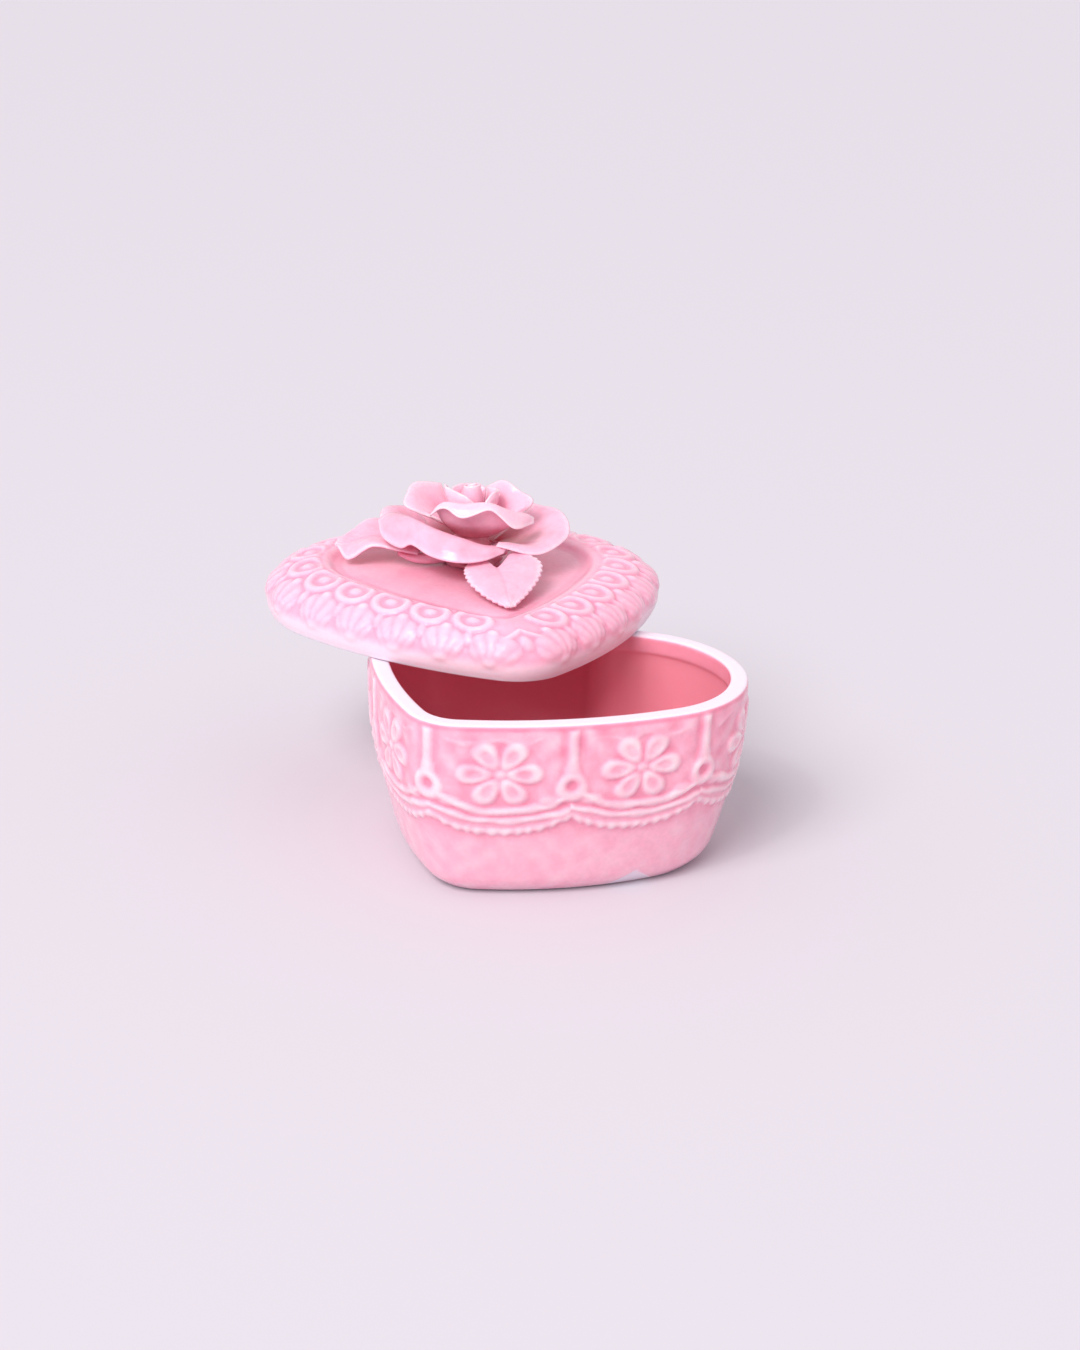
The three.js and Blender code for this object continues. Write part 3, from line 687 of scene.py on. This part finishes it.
# Control points of each petal in rose coordinates, in millimetres: rows from root to lip, left to right
PETALS = {
    "outer_petal_front": [
        [
            (-6.6, -0.8, 3.2), (-6.3, -2.6, 3.2), (-5.6, -4, 3.1), (-4.4, -5, 3),
            (-2.4, -5.8, 3), (0.6, -6.2, 3), (4, -5.8, 3), (7.4, -4.2, 3),
        ],
        [
            (-13, -1.8, 6.8), (-12.4, -4.6, 6.4), (-10.8, -7, 6), (-9.2, -8.8, 5.8),
            (-5.8, -10.6, 5.5), (-1, -11.6, 5.3), (4, -11.2, 5.2), (8.6, -8.6, 5),
        ],
        [
            (-17.6, -1.4, 10.8), (-16.4, -5.2, 11.7), (-13.8, -8, 11.8), (-11.4, -9.8, 11.4),
            (-7.2, -12.4, 10.6), (-2, -14.4, 9.5), (3.4, -15, 8.2), (8.6, -12.4, 7.4),
        ],
        [
            (-20, -2.4, 11), (-18.6, -7.6, 10.4), (-15.2, -10.6, 9.9), (-12.6, -12.2, 10.4),
            (-8.3, -15.8, 9.2), (-2.8, -18, 8.4), (3.1, -17.8, 7.7), (8.3, -14, 7.4),
        ],
        [
            (-21.8, -3.2, 10), (-20, -9.2, 7.6), (-16, -12.2, 6.3), (-13.2, -13.8, 7.7),
            (-8.5, -17.8, 6.4), (-3, -20.3, 6), (3, -19.4, 6.2), (8, -15, 7),
        ],
    ],
    "outer_petal_left": [
        [(-6.8, -1.6, 2.2), (-7, 0, 2.2), (-6.9, 1.6, 2.2), (-6.4, 3, 2.2), (-5.6, 4.2, 2.2)],
        [(-12.4, -3, 4.8), (-13.2, 0, 5), (-13, 2.8, 5.2), (-12, 5.4, 5.2), (-10.2, 8, 5.2)],
        [(-16.4, -3.6, 7.4), (-18.2, -0.4, 8.8), (-18.4, 3.4, 9.6), (-17, 6.8, 9.4), (-14, 9.8, 8.6)],
        [(-18.6, -4.2, 7), (-21, -0.8, 8.7), (-21.6, 3.6, 10), (-19.8, 8, 9.8), (-16, 11.4, 8.4)],
    ],
    "outer_petal_right": [
        [(3.4, -5.2, 4.4), (6.5, -3, 3.6), (7.2, 0, 3.6), (6.8, 3, 3.6), (5, 5, 3.6)],
        [(6.4, -9.8, 7), (12.5, -6.5, 6.2), (13.5, -1.5, 6.2), (12.5, 3.5, 6.4), (9, 8, 6.6)],
        [(6.8, -13, 8.6), (15, -11, 7.4), (18.8, -3.4, 8.6), (17.4, 4.8, 9.4), (12.4, 10.8, 9.4)],
        [(6.4, -14.8, 8.4), (16.2, -13.6, 6.7), (22.6, -4.6, 8.8), (20.8, 5.2, 11.2), (14, 13.2, 10.8)],
    ],
    "outer_petal_back_right": [
        [(5.2, 4.8, 2.8), (3.6, 6, 2.8), (2, 6.8, 2.8), (0.4, 7, 2.8), (-1.2, 6.8, 2.8)],
        [(10, 8, 4.6), (7, 10.4, 4.6), (3.6, 12, 4.6), (0, 12.6, 4.6), (-3.4, 12, 4.6)],
        [(12.6, 12, 5.8), (9, 15, 6), (4.6, 17, 6.2), (0, 17.4, 6.2), (-4.2, 16.6, 6)],
        [(14, 14.6, 6.4), (10, 18, 7), (4.8, 20, 7.4), (-0.4, 20.2, 7.2), (-5, 18.8, 6.8)],
    ],
    "outer_petal_back_left": [
        [(-1.6, 6.8, 3.4), (-3.4, 6.2, 3.4), (-5, 5, 3.4), (-6.2, 3.4, 3.4), (-6.8, 1.6, 3.4)],
        [(-4, 12, 5.6), (-7.4, 11, 5.6), (-10.2, 8.6, 5.6), (-12.4, 5.6, 5.4), (-13.2, 2.4, 5.2)],
        [(-5, 16.4, 7.4), (-9.4, 14.8, 7.4), (-13.4, 12, 7.4), (-16.6, 8.4, 7.4), (-17.8, 4.6, 7.2)],
        [(-5.6, 18.6, 8), (-10.8, 17, 8.4), (-15.6, 14, 8.4), (-19.4, 9.8, 8.4), (-20.6, 5, 7.8)],
    ],
    "middle_petal_front": [
        [(-4, -3.5, 8), (-2.5, -4.3, 7.8), (-0.5, -4.8, 7.6), (2, -4.8, 7.6), (4, -4.2, 7.8), (5.5, -3, 8)],
        [
            (-6.5, -6, 11.2), (-4.5, -7.5, 11.5), (-1.5, -8.5, 11.3),
            (3, -8.6, 11.3), (6.5, -7.4, 11), (9.5, -5, 10.5),
        ],
        [
            (-8.2, -7.2, 14.2), (-5.3, -9.3, 16.2), (-1.5, -10.3, 16.4),
            (4, -10, 16.8), (9.5, -8.5, 14.6), (14, -4.5, 12.6),
        ],
        [
            (-9.2, -9.2, 13.4), (-6, -11, 15.9), (-1.8, -13.2, 14.4),
            (4.7, -12.4, 16.3), (10, -12, 12), (14.6, -6.2, 11.9),
        ],
    ],
    "middle_petal_left": [
        [(-4, -3, 8.5), (-4.5, -1.5, 8.5), (-4.8, 0, 8.5), (-4.5, 2, 8.5), (-3.5, 3.5, 8.5)],
        [(-6, -4.4, 10.2), (-7.8, -3.2, 10.8), (-8.4, -0.8, 11.4), (-7.8, 2.2, 11.6), (-5.5, 4.5, 11.5)],
        [(-8.4, -5, 11.6), (-12, -4.4, 13), (-12.6, -1.2, 14.6), (-11.2, 2.4, 15.4), (-7, 5.6, 14.6)],
        [(-9.8, -5.6, 12), (-15.3, -5, 14), (-15.2, -1.5, 16.2), (-13.6, 2.5, 17.7), (-8, 6.4, 16.6)],
    ],
    "middle_petal_right": [
        [(4.3, -2.5, 8.5), (5, -1, 8.5), (4.8, 1, 8.5), (4, 2.6, 8.5), (2.2, 4, 8.5)],
        [(7, -2.6, 10.8), (8.2, -1.2, 11.6), (8, 1.6, 12), (6, 4.2, 12), (3.2, 6, 11.8)],
        [(9.6, -2, 12.4), (11, -0.6, 13.6), (9.6, 2.6, 14.4), (6.6, 5.4, 14.8), (3.2, 7.2, 13.8)],
        [(11.2, -1.8, 12.4), (14, 0.6, 15), (10.9, 3.6, 16.4), (6.8, 6.4, 18), (3, 8.4, 15.8)],
    ],
    "middle_petal_back": [
        [(3, 4.6, 8), (1.5, 5.2, 7.8), (-0.5, 5.4, 7.8), (-2.5, 5, 7.8), (-4, 4.4, 8)],
        [(4.4, 8.2, 9.6), (1.5, 9, 9.8), (-1, 9.2, 10), (-4, 8.6, 9.8), (-6.8, 7.2, 9.6)],
        [(5, 11, 11.4), (1.5, 12, 11.8), (-1.5, 12.2, 12), (-5, 11.4, 11.8), (-8.6, 9.4, 11.4)],
        [(5.6, 12.8, 12.4), (1.8, 14, 13), (-1.8, 14.2, 13.2), (-6, 13.2, 13), (-10, 10.8, 12.4)],
    ],
    "inner_petal_left": [
        [(-3.4, 2, 9.8), (-3.8, 0, 9.8), (-3, -2, 9.8), (-1.4, -3.2, 9.8), (0.4, -3.6, 9.8)],
        [(-4.6, 2.4, 12), (-5, 0, 12.2), (-4, -2.6, 12.2), (-1.8, -4, 12), (0.4, -4.4, 11.6)],
        [(-5.6, 2.6, 15), (-6, 0, 15.4), (-4.8, -2.8, 15.2), (-2, -4.4, 14.4), (0.5, -4.8, 13.2)],
        [(-6.2, 2.6, 17.2), (-6.8, 0.4, 18), (-5, -2.4, 17.8), (-1.6, -4.4, 16.8), (0.6, -5, 15.2)],
    ],
    "inner_petal_right": [
        [(1.6, -3.2, 9.8), (2.6, -2.4, 9.8), (3.4, -0.6, 9.8), (3.4, 1.2, 9.8), (2.4, 2.6, 9.8)],
        [(2.2, -3.8, 11.6), (3.8, -2.8, 12), (4.8, -0.4, 12.2), (4.6, 1.8, 12.2), (3, 3.4, 12)],
        [(2.5, -4.2, 13.4), (4.4, -3, 14.8), (5.4, -0.2, 15.4), (5.2, 2.2, 15.2), (3.2, 4, 15)],
        [(2.6, -4.4, 14.4), (4.6, -2.8, 17.3), (5.8, 0, 17.4), (5.6, 2.4, 17), (3.4, 4.6, 16.8)],
    ],
    "inner_petal_back": [
        [(2, 3.4, 9.8), (0.8, 3.9, 9.8), (-0.4, 4, 9.8), (-1.6, 3.7, 9.8), (-2.6, 3, 9.8)],
        [(2.4, 4.6, 12), (1, 5.2, 12), (-0.6, 5.3, 12), (-2.2, 4.8, 12), (-3.6, 3.8, 12)],
        [(2.6, 5.2, 14.4), (1, 5.8, 14.6), (-0.8, 6, 14.6), (-2.8, 5.4, 14.6), (-4.4, 4.2, 14.4)],
        [(2.6, 5.8, 16.2), (1, 6.4, 16.8), (-1, 6.6, 16.8), (-3.2, 5.8, 16.8), (-5, 4.4, 16.4)],
    ],
}

# How pale each petal is painted, where it differs from 0.5: painted light and shade, each petal's tone set to
# how bright it looks in its light
PETAL_LIGHT_TONES = {
    "outer_petal_front": 0.45,
    "middle_petal_front": 0.7,
    "middle_petal_left": 0.62,
    "middle_petal_right": 0.58,
    "inner_petal_left": 0.65,
    "inner_petal_right": 0.65,
}


def build_bud():
    """Rolled strip of clay: a spiral seen from above."""
    rows, cols = 22, 90
    turn = np.linspace(0, 3.3 * math.pi, cols)
    v = np.linspace(0, 1, rows)
    radius = 3.0 - 0.78 * turn / math.pi * 0.86
    grid = np.zeros((rows, cols, 3))
    for i, f in enumerate(v):
        r = np.maximum(radius * (0.72 + 0.28 * math.sin(math.pi * min(1, f * 1.15))), 0.28)
        grid[i, :, 0] = r * np.cos(turn + 2.4)
        grid[i, :, 1] = r * np.sin(turn + 2.4)
        top = 18.3 - 0.25 * np.cos(turn) + 0.05 * turn
        grid[i, :, 2] = 10.4 + (top - 10.4) * f
    points, faces, edge, depth = sheet_mesh(grid, 0.8)
    # Painted shade: the bud is deepened towards its foot, down among the petals; its edges are paler where the
    # glaze runs thin.
    tone = np.clip(0.6 + 0.25 * edge - 0.3 * (1 - depth), 0, 1)
    add_to_lid("rose_bud", points, faces, tone, petal_glaze)


def build_core():
    """Lumpy clay core with its foot spread on the panel."""
    cols = 96
    knots = [[6.2, -0.55], [7, 0.5], [6.7, 2], [5.3, 3], [4.4, 5], [3.6, 7], [2.6, 9.3], [1.4, 9.9]]
    section = smooth_curve(np.array(knots))[::10]
    turn = np.linspace(0, 2 * math.pi, cols, endpoint=False)
    # Painted shade: the whole core is given a deep tone, deepest at its middle, so that the gaps between the
    # petals read dark.
    points, tone = [np.array([[0, 0, -0.55]])], [np.array([0.1])]
    for r, z in section:
        wob = 1 + 0.05 * np.sin(3 * turn + z) + 0.03 * np.sin(7 * turn + 2 * z)
        points.append(np.stack([r * wob * np.cos(turn), r * wob * np.sin(turn), np.full(cols, z)], 1))
        tone.append(np.full(cols, 0.2))
    points.append(np.array([[0, 0, 10.0]]))
    tone.append(np.array([0.2]))
    faces = skin(len(section), cols)
    add_to_lid("rose_core", np.vstack(points), faces, np.concatenate(tone), petal_glaze)


# ---- leaves --------------------------------------------------------------------------------------------
LEAF_THICKNESS = 1.15


def build_leaf(name, grid, teeth, bite, seed):
    """Leaf with teeth of depth bite along its edges."""
    rows, cols = 60, 60
    surface = spline_axis(spline_axis(np.array(grid, float), rows, 0), cols, 1)
    u = np.linspace(-1, 1, cols)[None, :]
    v = np.linspace(0, 1, rows)[:, None]
    du = np.gradient(surface, axis=1)
    du /= np.linalg.norm(du, axis=2, keepdims=True) + 1e-9
    saw = np.abs(((v * teeth) % 1) - 0.5) * 2
    surface = surface + du * (np.sign(u) * bite * saw * ease((np.abs(u) - 0.75) / 0.25))[..., None]
    surface = ruffle(surface, 0.12, seed)
    points, faces, edge, _ = sheet_mesh(surface, LEAF_THICKNESS, 0.35)
    # veins pressed into the upper face
    n = rows * cols
    mid = np.exp(-((u / 0.06) ** 2)) * np.ones((rows, 1))
    vein_v = (v * 5 - np.abs(u) * 1.6) % 1
    side_veins = np.exp(-(((vein_v - 0.5) / 0.09) ** 2)) * ease((0.85 - np.abs(u)) / 0.2)
    dent = (0.12 * mid + 0.05 * side_veins).ravel()
    normal = unit_normals(surface)
    up = np.sign(normal[..., 2].mean())
    upper, under = slice(0, n), slice(n, 2 * n)
    if up < 0:
        upper, under = under, upper
    points[upper] -= (normal.reshape(-1, 3) * up) * dent[:, None]
    tone = 0.5 + 0.3 * edge
    tone[upper] -= dent * 0.6
    tone[under] -= 0.45  # painted shade: the underside is deepened so that the hollow under the leaf's raised edge reads dark
    tone = np.clip(tone, 0, 1)
    add_to_lid(name, points, faces, tone, leaf_glaze)


# Control points of each leaf, as for the petals, then its number of teeth and their depth
LEAVES = {
    "front_leaf": (
        [
            [(0.8, -16.6, 4.8), (3.2, -15, 5.3), (6.8, -18.8, 4.2), (9.8, -13.4, 6), (12.8, -13.6, 6.5)],
            [(0, -20, 3.9), (3.6, -19.4, 4.5), (7.4, -20.4, 4), (11.4, -17.6, 5.4), (16.2, -17.2, 5.6)],
            [(1.4, -24.4, 2.5), (5, -24.8, 3.3), (8.6, -24.8, 3.2), (12.4, -23.8, 4), (16, -23, 4)],
            [(5.4, -30, 1.3), (7.4, -30.4, 1.9), (9.6, -30.4, 2), (11.8, -30, 2.2), (13.8, -29.2, 2.3)],
            [(9.9, -34.8, 0.8), (10.2, -35, 0.9), (10.5, -35.1, 1), (10.8, -35, 1), (11.1, -34.8, 1)],
        ],
        13,
        0.6,
    ),
    "left_leaf": (
        [
            [(-12.4, -6, 3), (-12.2, -3.4, 3.8), (-12, 0, 4.4), (-12.2, 2.6, 4.8), (-12.6, 5, 5)],
            [(-17, -8, 4.4), (-17, -4.4, 5), (-17.5, -0.5, 5.2), (-18, 3.4, 5.8), (-18.4, 7, 6.2)],
            [(-22.8, -7.6, 4.9), (-23, -4.4, 5.2), (-23.5, -0.6, 4.8), (-24, 2.6, 5.8), (-24.4, 6.4, 7)],
            [(-28.2, -7.2, 1.4), (-28.2, -4.4, 3), (-28.4, -2, 3.6), (-28.4, 0.4, 4.2), (-28.2, 3, 5.2)],
            [
                (-31, -4.6, 3.4), (-31.4, -3.8, 3.4), (-31.6, -3, 3.5),
                (-31.6, -2.2, 3.6), (-31.4, -1.4, 3.8),
            ],
        ],
        9,
        0.15,
    ),
}


def build_stem(name, path, radii, seed):
    """Pinched clay stem along a path from the rose's foot to a leaf."""
    rows, cols = 26, 20
    line = spline_axis(np.array(path, float), rows, 0)
    width = np.interp(np.linspace(0, 1, rows), np.linspace(0, 1, len(radii)), radii)
    direction = np.gradient(line, axis=0)
    direction /= np.linalg.norm(direction, axis=1, keepdims=True)
    side = np.cross(direction, [0, 0, 1.0])
    side /= np.linalg.norm(side, axis=1, keepdims=True)
    over = np.cross(side, direction)
    turn = np.linspace(0, 2 * math.pi, cols, endpoint=False)
    rng = np.random.default_rng(seed)
    phase = rng.uniform(0, 6.28, 3)
    points = [line[:1]]
    for n in range(rows):
        wob = 1 + 0.08 * np.sin(2 * turn + n * 0.3 + phase[0]) + 0.05 * np.sin(5 * turn + n * 0.5 + phase[1])
        r = width[n] * wob * (0.5 if n in (0, rows - 1) else 1)
        across = (r * np.cos(turn))[:, None] * side[n] * 1.25
        points.append(line[n] + across + (r * np.sin(turn))[:, None] * over[n] * 0.9)
    points.append(line[-1:])
    points = np.vstack(points)
    add_to_lid(name, points, skin(rows, cols), np.full(len(points), 0.4), leaf_glaze)


STEM_RADII = (1.6, 1.45, 1.2, 0.8)  # from the rose's foot to the leaf
STEMS = {
    "front_stem": [(2, -6.6, 1.2), (3, -10, 1.4), (4.4, -14, 1.9), (6, -18.4, 2.5)],
    "left_stem": [(-6.2, -2.6, 1.4), (-9.5, -4.4, 1.5), (-13, -4.6, 1.6), (-17, -2.6, 2)],
}
PETAL_SEED, LEAF_SEED, STEM_SEED = 20, 50, 70


build_bowl()
build_lid()
build_core()
for index, (name, path) in enumerate(STEMS.items()):
    build_stem(name, path, STEM_RADII, STEM_SEED + index)
build_bud()
for index, (name, grid) in enumerate(PETALS.items()):
    build_petal(name, grid, PETAL_SEED + index, PETAL_LIGHT_TONES.get(name, 0.5))
for index, (name, (grid, teeth, bite)) in enumerate(LEAVES.items()):
    build_leaf(name, grid, teeth, bite, LEAF_SEED + index)

# ---- floor, light and camera ---------------------------------------------------------------------------
FLOOR_HALF = 30  # metres
FLOOR_COLOUR = (0.645, 0.612, 0.665, 1)
floor_mesh = bpy.data.meshes.new("floor")
floor_corners = [(x * FLOOR_HALF, y * FLOOR_HALF, 0) for x, y in ((-1, -1), (1, -1), (1, 1), (-1, 1))]
floor_mesh.from_pydata(floor_corners, [], [(0, 1, 2, 3)])
floor = bpy.data.objects.new("floor", floor_mesh)
bpy.context.scene.collection.objects.link(floor)
paper = bpy.data.materials.new("paper")
paper.use_nodes = True
shade = paper.node_tree.nodes["Principled BSDF"]
shade.inputs["Base Color"].default_value = FLOOR_COLOUR
shade.inputs["Roughness"].default_value = 0.9
shade.inputs["Specular IOR Level"].default_value = 0.1
floor_mesh.materials.append(paper)

WORLD_COLOUR, WORLD_STRENGTH = (1.0, 0.955, 0.98, 1), 0.74
world = bpy.data.worlds.new("studio")
world.use_nodes = True
world.node_tree.nodes["Background"].inputs["Color"].default_value = WORLD_COLOUR
world.node_tree.nodes["Background"].inputs["Strength"].default_value = WORLD_STRENGTH
bpy.context.scene.world = world

# The wide softbox; its light travels this way
SUN_TRAVEL = (-0.02, 1.0, -0.9)
sun_data = bpy.data.lights.new("softbox", "SUN")
sun_data.energy = 2.35
sun_data.angle = math.radians(34)
sun = bpy.data.objects.new("softbox", sun_data)
sun.rotation_euler = Vector(SUN_TRAVEL).to_track_quat("-Z", "Y").to_euler()
bpy.context.scene.collection.objects.link(sun)

# A small window, aimed at the origin, gives the glaze its highlights
WINDOW_AT = (0.02, -0.8, 0.85)
window_data = bpy.data.lights.new("window", "AREA")
window_data.size = 0.09
window_data.energy = 1.1
window = bpy.data.objects.new("window", window_data)
window.location = WINDOW_AT
window.rotation_euler = (-window.location).to_track_quat("-Z", "Y").to_euler()
bpy.context.scene.collection.objects.link(window)

# Where the photo was taken from, and the picture's right, up and inward directions
CAMERA_AT = (0.25936, -0.42846, 0.22892)
CAMERA_RIGHT = (0.84743, 0.5294, 0.04001)
CAMERA_UP = (-0.21861, 0.27929, 0.93499)
CAMERA_LOOK = (-0.48381, 0.80108, -0.35241)
camera_data = bpy.data.cameras.new("camera")
camera_data.sensor_fit = "VERTICAL"
camera_data.sensor_height = 36
camera_data.sensor_width = 36
camera_data.lens = 64
camera_data.clip_start = 0.01
camera = bpy.data.objects.new("camera", camera_data)
turn = Matrix((CAMERA_RIGHT, CAMERA_UP, -Vector(CAMERA_LOOK))).transposed()
camera.matrix_world = Matrix.Translation(CAMERA_AT) @ turn.to_4x4()
bpy.context.scene.collection.objects.link(camera)
bpy.context.scene.camera = camera
bpy.context.scene.view_settings.view_transform = "Standard"
